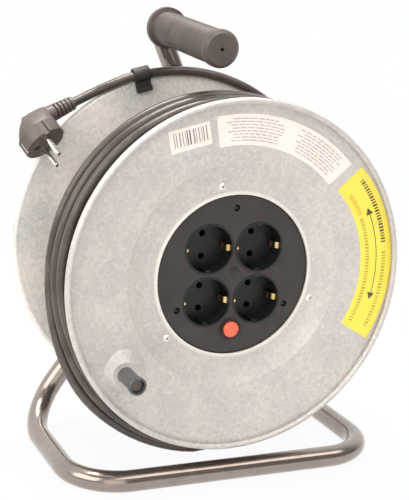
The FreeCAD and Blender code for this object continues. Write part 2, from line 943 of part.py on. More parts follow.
def at_plug(shape):
    turned = FreeCAD.Matrix(cable_out.x, pins_across.x, pins_forward.x, plug_centre.x,
                            cable_out.y, pins_across.y, pins_forward.y, plug_centre.y,
                            cable_out.z, pins_across.z, pins_forward.z, plug_centre.z, 0, 0, 0, 1)
    return shape.transformed(turned)


def plug_body():
    disc = Part.makeCylinder(plug_face_r, plug_disc, vec(0, 0, -plug_disc))
    disc = disc.makeFillet(plug_edge, [edge for edge in disc.Edges if edge.Closed])
    neck = Part.makeCylinder(plug_neck_r, relief_start - plug_heel, vec(plug_heel, 0, -cable_line), vec(1, 0))
    bar_low = (plug_crown - plug_heel - plug_bar) / 2
    bar = block((bar_low, -plug_bar_half, -plug_back - plug_bar_proud),
                (bar_low + plug_bar, plug_bar_half, -plug_back + plug_bar_half))
    body = disc.fuse([plug_hood(), neck, bar])
    foot = vec(-earth_hole_in, 0, -earth_hole_depth)
    body = body.cut(Part.makeCylinder(earth_hole_r, earth_hole_depth + 1, foot))
    for side in (-1, 1):
        rim = side * plug_face_r
        guide = guide_width / 2 + slack
        earth = earth_width / 2 + slack
        root = vec(0, side * pin_spacing / 2, -pin_root)
        body = body.cut(Part.makeCylinder(pin_root_r + running, 2 * pin_root, root))
        body = body.cut(block((-guide, rim - guide_height - slack, -plug_disc),
                              (guide, rim + guide_height + slack, 1)))
        body = body.cut(block((rim - 2 * earth_sheet, -earth, earth_depth - plug_disc),
                              (rim + 2 * earth_sheet, earth, 1)))
    return at_plug(body)


def plug_hood():
    """Hood behind the round face, lofted from the face's circle to a narrow rounded back."""
    start = plug_disc / 2
    base = plug_face_r - slack
    layers = 4
    sections = []
    for i in range(layers + 1):
        share = i / layers
        low = (base - plug_heel) * share ** 2 - base
        high = base + (plug_crown - base) * share
        half = base + (plug_top_half - base) * share ** 1.6
        sections.append(rounded_outline(low, high, half, 2 + share, -start - (plug_back - start) * share))
    return Part.makeLoft(sections, True)


def rounded_outline(low, high, half, power, depth):
    """Closed smooth outline between a circle (power 2) and a rectangle (large powers)."""
    points = []
    for i in range(outline_points):
        turn = 2 * math.pi * i / outline_points
        x = math.copysign(abs(math.cos(turn)) ** (2 / power), math.cos(turn))
        y = math.copysign(abs(math.sin(turn)) ** (2 / power), math.sin(turn))
        points.append(vec((low + high) / 2 + x * (high - low) / 2, y * half, depth))
    curve = Part.BSplineCurve()
    curve.interpolate(Points=points, PeriodicFlag=True)
    return Part.Wire(curve.toShape())


def plug_pins():
    group = []
    for side in (-1, 1):
        y = side * pin_spacing / 2
        root = Part.makeCylinder(pin_root_r, pin_root, vec(0, y, -pin_root))
        shank = Part.makeCylinder(pin_r, pin_length - pin_r, vec(0, y, 0))
        tip = Part.makeSphere(pin_r, vec(0, y, pin_length - pin_r))
        group.append(at_plug(root.fuse([shank, tip]).removeSplitter()))
    return group


def plug_earth():
    group = []
    for side in (-1, 1):
        floor = side * (plug_face_r - 2 * earth_sheet)
        edge = floor + side * earth_sheet
        strip = block((min(floor, edge), -earth_width / 2, earth_depth - plug_disc),
                      (max(floor, edge), earth_width / 2, -close))
        group.append(at_plug(strip))
    return group


def strain_relief():
    """Ribbed sleeve: thick rings on a thinner sleeve round the cord."""
    length = relief_end - relief_start
    pitch = length / relief_ribs
    core_r = relief_tip_r - relief_groove
    steps = [(cord_r + running, 0), (relief_r, 0)]
    for i in range(relief_ribs):
        ring_r = relief_r + (relief_tip_r - relief_r) * i / relief_ribs
        start = i * pitch
        land = start + relief_land * pitch
        steps += [(ring_r, start), (ring_r, land), (core_r, land), (core_r, start + pitch)]
    steps.append((cord_r + running, length))
    sleeve = spun(*steps)
    sleeve.rotate(vec(0, 0), vec(0, 0, 1), -90)
    sleeve.translate(vec(relief_start, 0, -cable_line))
    return at_plug(sleeve)


# Free end of the cord: round the hidden side, over the rear rim, to the plug

def tail_points():
    """Route by hand from the winding to the plug: angle, share of the rim's radius, depth before the rear."""
    middle = [(340, 0.959, 66.5), (0, 0.979, 46.5), (20, 1.007, 28.5), (40, 1.034, 15.5), (61, 1.041, 8.8),
              (83, 1.041, 8.4), (104, 1.039, 8.5), (115, 1.033, 7.0)]
    start = wind_end_point()
    route = [start, start + wind_heading(wind_turns) * tail_first]
    route += [polar(flange_r * share, angle, drum_depth - ahead) for angle, share, ahead in middle]
    return route + [plug_point(tail_last, 0, -cable_line), plug_point(relief_start, 0, -cable_line)]


def tail_radii(points):
    """Each arc is as large as its two runs allow."""
    radii = []
    for i in range(1, len(points) - 1):
        before = points[i] - points[i - 1]
        after = points[i + 1] - points[i]
        half = before.getAngle(after) / 2
        radii.append(0.45 * min(before.Length, after.Length) / math.tan(half))
    return radii


def cord_tail():
    points = tail_points()
    radii = tail_radii(points)
    edges = rounded(points, radii)
    solid = tube(edges, cord_r)
    length = sum(edge.Length for edge in edges)
    print("tail: radii", [round(radius) for radius in radii])
    print("tail: length %.0f mm" % length)
    return solid


def cable_clip():
    """Sprung clip: a ring round the cord, an arm down the inside of the rim and a toe behind it."""
    points = tail_points()
    seat = corner_arc(points, tail_radii(points), len(points) - 4)[1]
    angle = math.degrees(math.atan2(seat.z, seat.x))
    radius = math.hypot(seat.x, seat.z)
    half = clip_width / 2
    rear = drum_depth + close
    back = rear + clip_wall
    slope = (step_depth - ring_depth) / (flange_r - step_r)
    arm_back = drum_depth - ring_back - slope * clip_arm - close
    arm_front = arm_back - clip_wall
    bottom = flange_r - clip_arm
    bore = cord_r + 2 * slack
    loop = Part.makeCylinder(bore + clip_wall, clip_width, vec(radius, seat.y, -half))
    arm = block((bottom, arm_front, -half), (radius, arm_back, half))
    foot = block((bottom, arm_front - clip_wall, -half), (bottom + clip_foot, arm_back, half))
    saddle = block((flange_r - clip_toe, seat.y, -half), (radius, back, half))
    hole = Part.makeCylinder(bore, clip_width + 2, vec(radius, seat.y, -half - 1))
    clip = loop.fuse([arm, foot, saddle]).removeSplitter()
    clip = clip.cut([rod(flange_r + close, arm_back, rear), hole])
    clip.rotate(vec(0, 0), vec(0, 1), -angle)
    return clip


def main():
    os.makedirs("parts", exist_ok=True)
    save("front_flange", front_flange())
    save("rear_flange", rear_flange())
    save("drum_barrel", drum_barrel())
    save("front_rivets", rivets(inner_depth, panel_back))
    save("rear_rivets", rivets(rear_outside, drum_depth - lip_back))
    save("hub_disc", hub_disc())
    save("front_bush", bush(bush_front, 1))
    save("rear_bush", bush(bush_back, -1))
    save("socket_panel", socket_panel())
    save("panel_screws", panel_screws())
    save("terminal_housing", terminal_housing())
    save("centre_cap", centre_cap())
    for number, (x, z) in enumerate(socket_centres(), 1):
        save("socket_cup_%d" % number, socket_cup(x, z))
        save("earth_contacts_%d" % number, earth_contacts(x, z))
        save("pin_contacts_%d" % number, pin_contacts(x, z))
    save("button_bezel", button_bezel())
    save("reset_button", reset_button())
    save("button_spring", button_spring())
    save("thermal_cutout", thermal_cutout())
    save("crank_knob", crank_knob())
    save("knob_pin", knob_pin())
    save("knob_nut", knob_nut())
    save("frame_tube", frame_tube())
    save("grip", grip())
    save("axle", axle())
    save("axle_boss", axle_boss())
    save("rear_saddle", rear_saddle())
    save("axle_nut", axle_nut())
    save("retaining_ring", retaining_ring())
    save("axle_washer", axle_washer())
    save("thrust_washer", thrust_washer())
    save("winding_core", winding_core())
    save("cord_winding", cord_winding())
    save("cord_tail", cord_tail())
    save("lead_gland", lead_gland())
    save("inner_lead", inner_lead())
    save("cable_clip", cable_clip())
    save("plug_body", plug_body())
    save("plug_pins", plug_pins())
    save("plug_earth", plug_earth())
    save("strain_relief", strain_relief())
    print(len(made), "nodes")


main()
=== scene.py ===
import bmesh
import bpy
import math
import numpy as np
from mathutils import Matrix, Vector


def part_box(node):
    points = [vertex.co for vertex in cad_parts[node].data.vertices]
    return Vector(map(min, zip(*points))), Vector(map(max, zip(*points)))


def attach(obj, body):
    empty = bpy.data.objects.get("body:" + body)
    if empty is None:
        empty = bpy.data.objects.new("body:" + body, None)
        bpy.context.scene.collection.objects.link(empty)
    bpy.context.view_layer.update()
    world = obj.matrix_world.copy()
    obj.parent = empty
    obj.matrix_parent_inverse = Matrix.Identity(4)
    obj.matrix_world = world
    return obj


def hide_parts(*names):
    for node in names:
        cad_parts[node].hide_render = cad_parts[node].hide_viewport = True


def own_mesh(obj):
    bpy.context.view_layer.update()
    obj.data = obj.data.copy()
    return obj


# Extension cord reel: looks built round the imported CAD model.
# Places are in drum millimetres: right, depth and up from the middle of the drum's front rim.
# Angles about the drum are in degrees, from the right and over the top.
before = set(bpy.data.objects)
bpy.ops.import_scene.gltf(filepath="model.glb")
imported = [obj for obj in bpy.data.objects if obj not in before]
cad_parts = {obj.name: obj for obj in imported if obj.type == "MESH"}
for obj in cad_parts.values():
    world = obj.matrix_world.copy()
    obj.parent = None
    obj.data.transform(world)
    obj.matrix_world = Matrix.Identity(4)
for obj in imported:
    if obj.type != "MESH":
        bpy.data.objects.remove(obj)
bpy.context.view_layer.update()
flangeLow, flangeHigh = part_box("front_flange")
drumMiddle = np.array([(flangeLow.x + flangeHigh.x) / 2, flangeLow.y,
                       (flangeLow.z + flangeHigh.z) / 2])
print("frame loaded:", len(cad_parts), "nodes")

drum = {
    "rimRadius": 142.5,      # where the bead's bend ends and the conical face starts
    "rimDepth": 6.0,
    "stepRadius": 92.5,      # where the conical face ends at the step
    "stepDepth": 10.5,
    "barrelRadius": 82.0,
}
perMetre = 1000              # millimetres in a metre
sameSpot = 1e-6              # metres within which two points of a mesh become one


# Shapes that the pieces share

def place(points):
    # Drum millimetres to metres in the row frame: scaled down and moved to the drum.
    return np.asarray(points, float) / perMetre + drumMiddle


def polar(radius, degrees, depth):
    # Points at a radius and angle about the drum's axis: radius times cosine and sine.
    radius, degrees, depth = np.broadcast_arrays(radius, degrees, depth)
    turn = np.radians(degrees)
    return np.stack([radius * np.cos(turn), depth, radius * np.sin(turn)], -1)


def smoothStep(value):
    # From 0 to 1 with a level start and end: three times the square less twice the cube.
    value = np.clip(value, 0, 1)
    return value * value * (3 - 2 * value)


def unit(vectors):
    # Each vector over its own length.
    return vectors / np.linalg.norm(vectors, axis=-1, keepdims=True)


def faceDepth(radius):
    # The sheet's face is a shallow cone: its depth grows in proportion from rim to step.
    share = (drum["rimRadius"] - radius) / (drum["rimRadius"] - drum["stepRadius"])
    return drum["rimDepth"] + (drum["stepDepth"] - drum["rimDepth"]) * share


def gridQuads(rows, columns, wrapRows=False, wrapColumns=False):
    # Numbers of the four corners of each quad of a grid: a point, the one in the next row, and
    # their neighbours in the next column. A wrapped direction joins its last points to its first.
    row, column = np.meshgrid(np.arange(rows if wrapRows else rows - 1),
                              np.arange(columns if wrapColumns else columns - 1), indexing="ij")
    nextRow = (row + 1) % rows
    nextColumn = (column + 1) % columns
    corners = [row * columns + column, nextRow * columns + column,
               nextRow * columns + nextColumn, row * columns + nextColumn]
    return np.stack(corners, -1).reshape(-1, 4)


def finishPiece(name, mesh, material, body, crease):
    # Doubles at poles and seams are merged, the closed shell's faces turned outwards, and edges
    # that bend by more than the crease angle kept sharp.
    work = bmesh.new()
    work.from_mesh(mesh)
    bmesh.ops.remove_doubles(work, verts=work.verts, dist=sameSpot)
    bmesh.ops.recalc_face_normals(work, faces=work.faces)
    work.to_mesh(mesh)
    work.free()
    mesh.shade_smooth()
    mesh.set_sharp_from_angle(angle=math.radians(crease))
    mesh.materials.append(material)
    piece = bpy.data.objects.new(name, mesh)
    bpy.context.scene.collection.objects.link(piece)
    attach(piece, body)
    return piece


def addSurface(name, points, material, body, wrapRows=False, wrapColumns=False,
               crease=35):
    # One quad between each four neighbours of a grid of points: rows x columns x 3, in metres.
    mesh = bpy.data.meshes.new(name)
    quads = gridQuads(*points.shape[:2], wrapRows, wrapColumns)
    mesh.from_pydata(points.reshape(-1, 3), [], quads)
    return finishPiece(name, mesh, material, body, crease)


def sweep(path, outward, radius, sides):
    # Round tube: each ring stands square to the path, its first point on the side that the
    # outward direction shows, and each end is closed to the middle of its ring.
    ahead = unit(np.gradient(path, axis=0))
    first = unit(outward - ahead * (outward * ahead).sum(1)[:, None])
    second = np.cross(ahead, first)
    turn = 2 * np.pi * np.arange(sides)[:, None] / sides
    rings = path[:, None] + radius * (first[:, None] * np.cos(turn)
                                      + second[:, None] * np.sin(turn))
    ends = np.broadcast_to(path[[0, -1], None], (2, sides, 3))
    return np.concatenate([ends[:1], rings, ends[1:]])


# Materials. One pixel of the picture shows 0.8 mm of the reel, so a real grain that is finer
# than that is drawn about that coarse, and the notes say where.

def linear(hexColour):
    # sRGB hex to linear, as Blender's sockets take it: the sRGB curve's straight foot, then its
    # power part.
    channels = [int(hexColour[i:i + 2], 16) / 255 for i in (1, 3, 5)]
    return [c / 12.92 if c <= 0.04045 else ((c + 0.055) / 1.055) ** 2.4 for c in channels] + [1.0]


def addNode(tree, kind, inputs=None, **settings):
    # A shader node with its settings. An input that is a socket is linked, any other is set.
    node = tree.nodes.new("ShaderNode" + kind)
    for name, value in settings.items():
        setattr(node, name, value)
    for name, value in (inputs or {}).items():
        if isinstance(value, bpy.types.NodeSocket):
            tree.links.new(value, node.inputs[name])
        else:
            node.inputs[name].default_value = value
    return node


def newMaterial(name, **shader):
    # A Principled material with constants on its own sockets. Its patterns are measured in
    # metres of Object coordinates.
    material = bpy.data.materials.new(name)
    material.use_nodes = True
    tree = material.node_tree
    principled = tree.nodes["Principled BSDF"]
    for socket, value in shader.items():
        principled.inputs[socket.replace("_", " ")].default_value = value
    where = addNode(tree, "TexCoord").outputs["Object"]
    return material, tree, principled, where


def perMillimetre(size):
    # Texture scale for a pattern that repeats about every so many millimetres.
    return perMetre / size


noiseSpan = (0.25, 0.75)     # a noise texture's values lie mostly between these


def colourRange(tree, factor, dark, light, start=0.3, end=0.7):
    # Dark below the start, light above the end, and an even change between them.
    ramp = addNode(tree, "ValToRGB", {"Fac": factor})
    for stop, colour, position in zip(ramp.color_ramp.elements, (dark, light), (start, end)):
        stop.color = linear(colour)
        stop.position = position
    return ramp.outputs["Color"]


def numberRange(tree, factor, low, high):
    # The noise span stretched to the numbers from low to high.
    return addNode(tree, "MapRange", {"Value": factor, "From Min": noiseSpan[0],
                                      "From Max": noiseSpan[1], "To Min": low,
                                      "To Max": high}).outputs["Result"]


sheet = {
    "spangle": 2.6,          # mm across a crystal; really 0.5 to 2, drawn coarser to show
    "grain": 1.2,            # mm; the dulled skin is really under 0.1, drawn coarser to show
    "relief": (0.05, 0.2),   # bump's strength and how many mm it stands for
    "edge": (68.0, 70.0),    # mm from the axis, where the painted highlight on the edge round the panel ends
    # colour of that painted highlight
    "paintedHighlightColour": "#efece6",
    # rings that bump dishes further: from and to mm from the axis, and how many mm deep
    "dishes": [(67.0, 92.5, 5.5), (92.5, 142.5, 3.5)],
}


def galvanisedSheet(name, dark, light, cloudSize, cloudShare, tones, roughness, metallic):
    # Hot-dip galvanised sheet with a fine spangle, skin-passed: dull, slightly warm zinc grey
    # whose small crystals show only as a faint mottling, and smoky clouds: on the front flange
    # where it was handled, on the rear flange painted reflections of the dark cord.
    # The share that colours and roughens it is crystals and grain by halves, mixed with clouds.
    material, tree, shader, where = newMaterial(name, Metallic=metallic)
    spangle = addNode(tree, "TexVoronoi", {"Vector": where, "Randomness": 1.0,
                                           "Scale": perMillimetre(sheet["spangle"])})
    cloud = addNode(tree, "TexNoise", {"Vector": where, "Scale": perMillimetre(cloudSize),
                                       "Detail": 3.0}).outputs["Fac"]
    grain = addNode(tree, "TexNoise", {"Vector": where, "Scale": perMillimetre(sheet["grain"]),
                                       "Detail": 2.0}).outputs["Fac"]
    spangleGrey = addNode(tree, "RGBToBW", {"Color": spangle.outputs["Color"]}).outputs["Val"]
    fine = addNode(tree, "Mix", {"Factor": 0.5, "A": spangleGrey, "B": grain}).outputs["Result"]
    share = addNode(tree, "Mix", {"Factor": cloudShare, "A": fine, "B": cloud}).outputs["Result"]
    # distance from the drum's axis
    fromAxis = addNode(tree, "VectorMath", {0: where, 1: tuple(drumMiddle)},
                       operation="SUBTRACT").outputs[0]
    flat = addNode(tree, "VectorMath", {0: fromAxis, 1: (1, 0, 1)},
                   operation="MULTIPLY").outputs[0]
    radius = addNode(tree, "VectorMath", {0: flat}, operation="LENGTH").outputs["Value"]
    # the edge round the panel, painted pale as a painted highlight where its lip catches the light
    edge = addNode(tree, "MapRange", {"Value": radius, "From Min": sheet["edge"][0] / perMetre,
                                      "From Max": sheet["edge"][1] / perMetre,
                                      "To Min": 1.0, "To Max": 0.0}).outputs["Result"]
    # colour sockets of a Mix node are its inputs 6 and 7 and its output 2
    paintedHighlightMix = addNode(tree, "Mix", {"Factor": edge, 6: colourRange(tree, share, dark, light, *tones),
                                   7: linear(sheet["paintedHighlightColour"])}, data_type="RGBA")
    tree.links.new(paintedHighlightMix.outputs[2], shader.inputs["Base Color"])
    tree.links.new(numberRange(tree, share, *roughness), shader.inputs["Roughness"])
    # the face dishes a little, and the ring inside the step more
    heights = [addNode(tree, "MapRange", {"Value": radius, "From Min": start / perMetre,
                                          "From Max": end / perMetre,
                                          "To Max": depth}).outputs["Result"]
               for start, end, depth in sheet["dishes"]]
    dish = addNode(tree, "Math", {0: heights[0], 1: heights[1]}, operation="ADD").outputs[0]
    slope = addNode(tree, "Bump", {"Height": dish, "Strength": 1.0, "Distance": 1 / perMetre})
    strength, depth = sheet["relief"]
    bump = addNode(tree, "Bump", {"Height": share, "Strength": strength,
                                  "Distance": depth / perMetre,
                                  "Normal": slope.outputs["Normal"]})
    tree.links.new(bump.outputs["Normal"], shader.inputs["Normal"])
    return material


zinc = {
    "colours": ("#b9bab9", "#deded9"),
    "roughness": (0.24, 0.40),
    "grain": 1.2,            # mm; the plating's crystals are really far finer, drawn to show
}


def zincPlatedSteel():
    # Bright zinc plated steel, barrel plated: smooth, pale, a little uneven from part to part.
    material, tree, shader, where = newMaterial("zincPlatedSteel", Metallic=1.0)
    grain = addNode(tree, "TexNoise", {"Vector": where, "Scale": perMillimetre(zinc["grain"]),
                                       "Detail": 3.0}).outputs["Fac"]
    tree.links.new(colourRange(tree, grain, *zinc["colours"]), shader.inputs["Base Color"])
    tree.links.new(numberRange(tree, grain, *zinc["roughness"]), shader.inputs["Roughness"])
    return material


even = {
    "cloud": 18.0,           # mm across the faint clouds that flow and handling leave
    "relief": 0.35,          # strength of the grain's bump
}


def evenFinish(name, dark, light, roughness, grainSize, grainDepth, **shader):
    # One colour with faint clouds in it, and a fine grain that breaks up its shine.
    material, tree, principled, where = newMaterial(name, **shader)
    grain = addNode(tree, "TexNoise", {"Vector": where, "Scale": perMillimetre(grainSize),
                                       "Detail": 3.0}).outputs["Fac"]
    cloud = addNode(tree, "TexNoise", {"Vector": where, "Scale": perMillimetre(even["cloud"]),
                                       "Detail": 2.0}).outputs["Fac"]
    tree.links.new(colourRange(tree, cloud, dark, light), principled.inputs["Base Color"])
    tree.links.new(numberRange(tree, grain, *roughness), principled.inputs["Roughness"])
    bump = addNode(tree, "Bump", {"Height": grain, "Strength": even["relief"],
                                  "Distance": grainDepth / perMetre})
    tree.links.new(bump.outputs["Normal"], principled.inputs["Normal"])
    return material


# Values: dark and light colour, cloud size in mm and share, where the two colours start and end,
# roughness from and to, metallic.
sheetMaterials = {
    # Front flange and barrel: even zinc grey with a fine mottling.
    "galvanised": galvanisedSheet("galvanisedSteelSheet", "#bcb8ba", "#d5d2c9", 30, 0.4,
                                  (0.3, 0.7), (0.46, 0.56), 0.3),
    # Rear flange: the same sheet, painted brighter as painted light on its inner face, with bluish
    # clouds laid at random as painted reflections of the dark cord.
    "galvanisedRearPaintedLight": galvanisedSheet("galvanisedSteelSheetRearPaintedLight", "#c9cccb", "#f6f0e8", 46, 0.6,
                                      (0.29, 0.60), (0.40, 0.50), 0.15),
}

# Values: dark and light colour, roughness from and to, grain size and depth in mm. The spark
# eroded, rolled or printed grain of all of them is really 0.02 to 0.3 mm, drawn coarser to show.
evenMaterials = {
    # Black metallic stoved enamel on steel tube: dark, with strong warm reflections under a
    # gloss coat whose orange peel, 2 to 3 mm, bends them a little.
    "enamel": evenFinish("blackMetallicStovedEnamel", "#978c84", "#a3978e", (0.18, 0.26),
                         2.4, 0.02, Metallic=0.85, Coat_Weight=0.6),
    # Black ABS panel, moulded in a spark eroded tool: dull, with a soft sheen at low angles.
    "panel": evenFinish("blackAbsPanel", "#332d2b", "#3b3533", (0.45, 0.6), 0.7, 0.03),
    # Glass filled black polyamide of the socket cups: a little glossier than the panel, and painted
    # darker and bluer as painted shade of the wells' insides.
    "cup": evenFinish("blackPolyamideCupsPaintedShade", "#131618", "#1a1d1f", (0.34, 0.46), 0.8, 0.02),
    # Turned natural nylon: waxy, off-white.
    "bush": evenFinish("naturalNylonBush", "#d9d3c4", "#e6e1d5", (0.38, 0.5), 1.0, 0.02),
    # Moulded grey polypropylene, polished by the hand: a long soft highlight down its side.
    "knob": evenFinish("greyPolypropyleneKnob", "#47484b", "#56575a", (0.20, 0.32), 0.9, 0.03),
    # Moulded polycarbonate ring round the button, painted very dark red as painted shade on the red
    # button's lower skirt: glossy and deep.
    "bezel": evenFinish("redBezelPaintedShade", "#220c0b", "#2b1110", (0.25, 0.36), 1.2, 0.01),
    # Moulded red polycarbonate: warm, bright, with a clear shine.
    "button": evenFinish("redPolycarbonateButton", "#e9664c", "#ef7257", (0.22, 0.32), 1.2, 0.01),
    # Moulded soft PVC: a warm dusty black, dull on its ribs.
    "grip": evenFinish("blackPvcGrip", "#4a4340", "#59504c", (0.36, 0.50), 0.8, 0.04),
    # Extruded rubber sheath: warm black with a smooth shine along each turn.
    "cord": evenFinish("blackRubberSheath", "#453f3c", "#59514c", (0.17, 0.28), 1.1, 0.04),
    # Moulded solid rubber, painted greyer than the sheath as painted light from above on its hood,
    # and duller.
    "plug": evenFinish("plugRubberPaintedLight", "#564d49", "#645a55", (0.34, 0.48), 0.9, 0.04),
    # Pressed brown bakelite: dense, almost black, with a small shine.
    "cap": evenFinish("brownBakeliteCap", "#2f2927", "#38312f", (0.3, 0.4), 0.8, 0.02),
    # Turned steel screws, blackened and oiled: dark with a dull metallic glint.
    "blackSteel": evenFinish("blackenedSteelScrews", "#3a3735", "#4a4644", (0.3, 0.45), 1.0, 0.02,
                             Metallic=0.8),
    # Riveted end of the crank pin, browned by heat: dark with a reddish cast.
    "brownedSteel": evenFinish("brownedSteelPin", "#5d5350", "#6a5f5b", (0.3, 0.45), 1.0, 0.02,
                               Metallic=0.6),
    # Pressed aluminium rivets: pale satin dots.
    "aluminium": evenFinish("aluminiumRivets", "#e6e5e2", "#f3f2ef", (0.35, 0.45), 1.0, 0.01,
                            Metallic=0.7),
    # Rolled and stamped brass: yellow, with sharp bright reflections.
    "brass": evenFinish("brassContacts", "#dcb86e", "#f3dfa8", (0.16, 0.26), 1.0, 0.01,
                        Metallic=1.0),
    # Turned brass pins, nickel plated: a warm silver mirror.
    "nickel": evenFinish("nickelPlatedPins", "#c9c4b6", "#e2ddd0", (0.14, 0.26), 1.0, 0.01,
                         Metallic=1.0),
    # Coated paper: flat and even, hardly any grain.
    "whiteLabel": evenFinish("whitePaperLabel", "#ece2db", "#f1e8e1", (0.45, 0.6), 0.6, 0.01),
    # Calendered vinyl: a strong even yellow with a faint shine.
    "yellowLabel": evenFinish("yellowVinylLabel", "#ecd950", "#f1e058", (0.35, 0.5), 0.8, 0.01),
    # Screen printed inks: thin and matt, so the label's colour comes through them.
    "blackInk": evenFinish("blackPrintingInk", "#4f4530", "#5a4f38", (0.5, 0.6), 0.6, 0.01),
    "oliveInk": evenFinish("olivePrintingInk", "#b0a03c", "#baa944", (0.5, 0.6), 0.6, 0.01),
    "orangeInk": evenFinish("orangePrintingInk", "#dd9e38", "#e3a740", (0.5, 0.6), 0.6, 0.01),
    "greyInk": evenFinish("greyPrintingInk", "#b4abac", "#beb5b6", (0.5, 0.6), 0.6, 0.01),
    "stripeInk": evenFinish("darkPrintingInk", "#625b5e", "#6c6568", (0.5, 0.6), 0.6, 0.01),
}
materials = {**sheetMaterials, **evenMaterials, "zinc": zincPlatedSteel()}

finishes = {
    "galvanised": ["front_flange", "drum_barrel", "hub_disc"],
    "galvanisedRearPaintedLight": ["rear_flange"],
    "zinc": ["knob_nut", "axle", "axle_nut", "retaining_ring", "axle_washer"],
    "blackSteel": ["panel_screws"],
    "brownedSteel": ["knob_pin"],
    "aluminium": ["front_rivets", "rear_rivets"],
    "cap": ["centre_cap"],
    "enamel": ["frame_tube", "axle_boss", "rear_saddle"],
    "panel": ["socket_panel", "terminal_housing", "thermal_cutout", "cable_clip", "lead_gland"],
    "cup": ["socket_cup_1", "socket_cup_2", "socket_cup_3", "socket_cup_4"],
    "bezel": ["button_bezel"],
    "bush": ["front_bush", "rear_bush", "thrust_washer"],
    "knob": ["crank_knob"],
    "button": ["reset_button"],
    "grip": ["grip"],
    "plug": ["plug_body", "strain_relief"],
    "brass": ["earth_contacts_1", "earth_contacts_2", "earth_contacts_3", "earth_contacts_4",
              "pin_contacts_1", "pin_contacts_2", "pin_contacts_3", "pin_contacts_4"],
    "nickel": ["plug_pins", "plug_earth"],
}
for finish, names in finishes.items():
    for name in names:
        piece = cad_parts[name]
        if not piece.material_slots:
            piece.data.materials.append(None)
        for materialSlot in piece.material_slots:
            materialSlot.link = "OBJECT"
            materialSlot.material = materials[finish]
print("materials on CAD nodes")


camera = {
    "azimuth": -24.01,
    "elevation": 13.90,
    "roll": 3.21,
    "position": (-433.0, -897.4, 269.0),    # drum millimetres
    "focalPixels": 1293.9,                  # at this many pixels along the picture's long side
    "longSide": 500,
    "sensorWidth": 36,                      # mm, also along the long side
}


def addCamera():
    # The view direction is turned from +Y by the azimuth, dipped by the elevation and rolled.
    side, dip, roll = (math.radians(camera[k]) for k in ("azimuth", "elevation", "roll"))
    ahead = Vector((-math.sin(side) * math.cos(dip), math.cos(side) * math.cos(dip),
                    -math.sin(dip)))
    level = ahead.cross(Vector((0, 0, 1))).normalized()
    right = level * math.cos(roll) + level.cross(ahead) * math.sin(roll)
    up = right.cross(ahead)
    data = bpy.data.cameras.new("photoCamera")
    data.sensor_width = camera["sensorWidth"]
    data.lens = camera["focalPixels"] * data.sensor_width / camera["longSide"]
    eye = bpy.data.objects.new("photoCamera", data)
    facing = Matrix((right, up, -ahead)).transposed().to_4x4()
    eye.matrix_world = Matrix.Translation(place(camera["position"])) @ facing
    bpy.context.scene.collection.objects.link(eye)
    bpy.context.scene.camera = eye


addCamera()
print("camera set")


# Cord: winding, layer below it, tail and inner lead

cord = {
    "radius": 4.0,
    "sides": 16,
    "crease": 60,            # only the flat ends keep a sharp edge
}

winding = {
    "front": 13.2,           # depth of the tight turns' first and last centre line
    "rear": 141.3,
    "pitch": 8.8,
    "frontRadius": 128.0,    # radius of the centre line at those depths
    "rearRadius": 104.0,
    "looseTurns": 3.0,
    "looseDepth": 65.0,      # depth that the loose turns reach at their end
    "loosePitch": 15.0,
    "looseRadius": 140.0,
    "looseSlide": 34.0,      # mm that the last loose turn slides forward on the left
    "firstSlide": 0.33,      # share of the slide that the first loose turn already has
    "looseSag": 15.6,        # mm that the last loose turn stands off on the left
    "sagPower": 1.5,         # the sag grows from turn to turn with this power
    "climbTurn": 0.40,       # turns in which the cord climbs, slides and shifts
    "slideTurn": 0.60,
    "shiftTurn": 0.50,
    "looseLead": 0.15,       # turns from the end of the tight ones to the loose ones and the shift
    "shiftLead": 0.25,
    "endAngle": 300.0,
    "sagStart": 172.0,       # angle where the sag starts, then degrees to rise, stay and fall
    "sagRise": 50.0,
    "sagHold": 88.0,
    "sagFall": 40.0,
    "startDip": 9.0,         # mm that the hidden first end goes down, in so many turns
    "startDipTurn": 0.12,
    "pointsPerTurn": 96,
}
tightTurns = (winding["rear"] - winding["front"]) / winding["pitch"]
looseStart = tightTurns + winding["looseLead"]
shiftStart = tightTurns + winding["shiftLead"]
windTurns = looseStart + winding["looseTurns"]


def windingLine(turn):
    # Centre line, so many turns after its start at the rear flange: a cone of tight turns whose
    # radius and depth run evenly to the front, then loose turns that climb over it, slide
    # forward again and sag on the left side. Smooth steps join the parts.
    share = np.minimum(1.0, turn / tightTurns)
    depth = winding["rear"] + (winding["front"] - winding["rear"]) * share
    radius = winding["rearRadius"] + (winding["frontRadius"] - winding["rearRadius"]) * share
    climb = smoothStep((turn - tightTurns) / winding["climbTurn"])
    radius = radius + (winding["looseRadius"] - winding["frontRadius"]) * climb
    angle = winding["endAngle"] + 360 * (turn - windTurns)
    sinceLow = (angle - winding["sagStart"]) % 360
    sag = (smoothStep(sinceLow / winding["sagRise"])
           - smoothStep((sinceLow - winding["sagHold"]) / winding["sagFall"]))
    loose = turn - looseStart
    grown = np.maximum(0.0, loose) / winding["looseTurns"]
    slideShare = winding["firstSlide"] + (1 - winding["firstSlide"]) * grown
    slide = winding["looseSlide"] * sag * slideShare * smoothStep(loose / winding["slideTurn"])
    looseLine = (winding["looseDepth"]
                 - (winding["looseTurns"] - loose) * winding["loosePitch"] - slide)
    depth = depth + (looseLine - depth) * smoothStep((turn - shiftStart) / winding["shiftTurn"])
    radius = radius + winding["looseSag"] * sag * grown ** winding["sagPower"]
    return polar(radius, angle, depth)


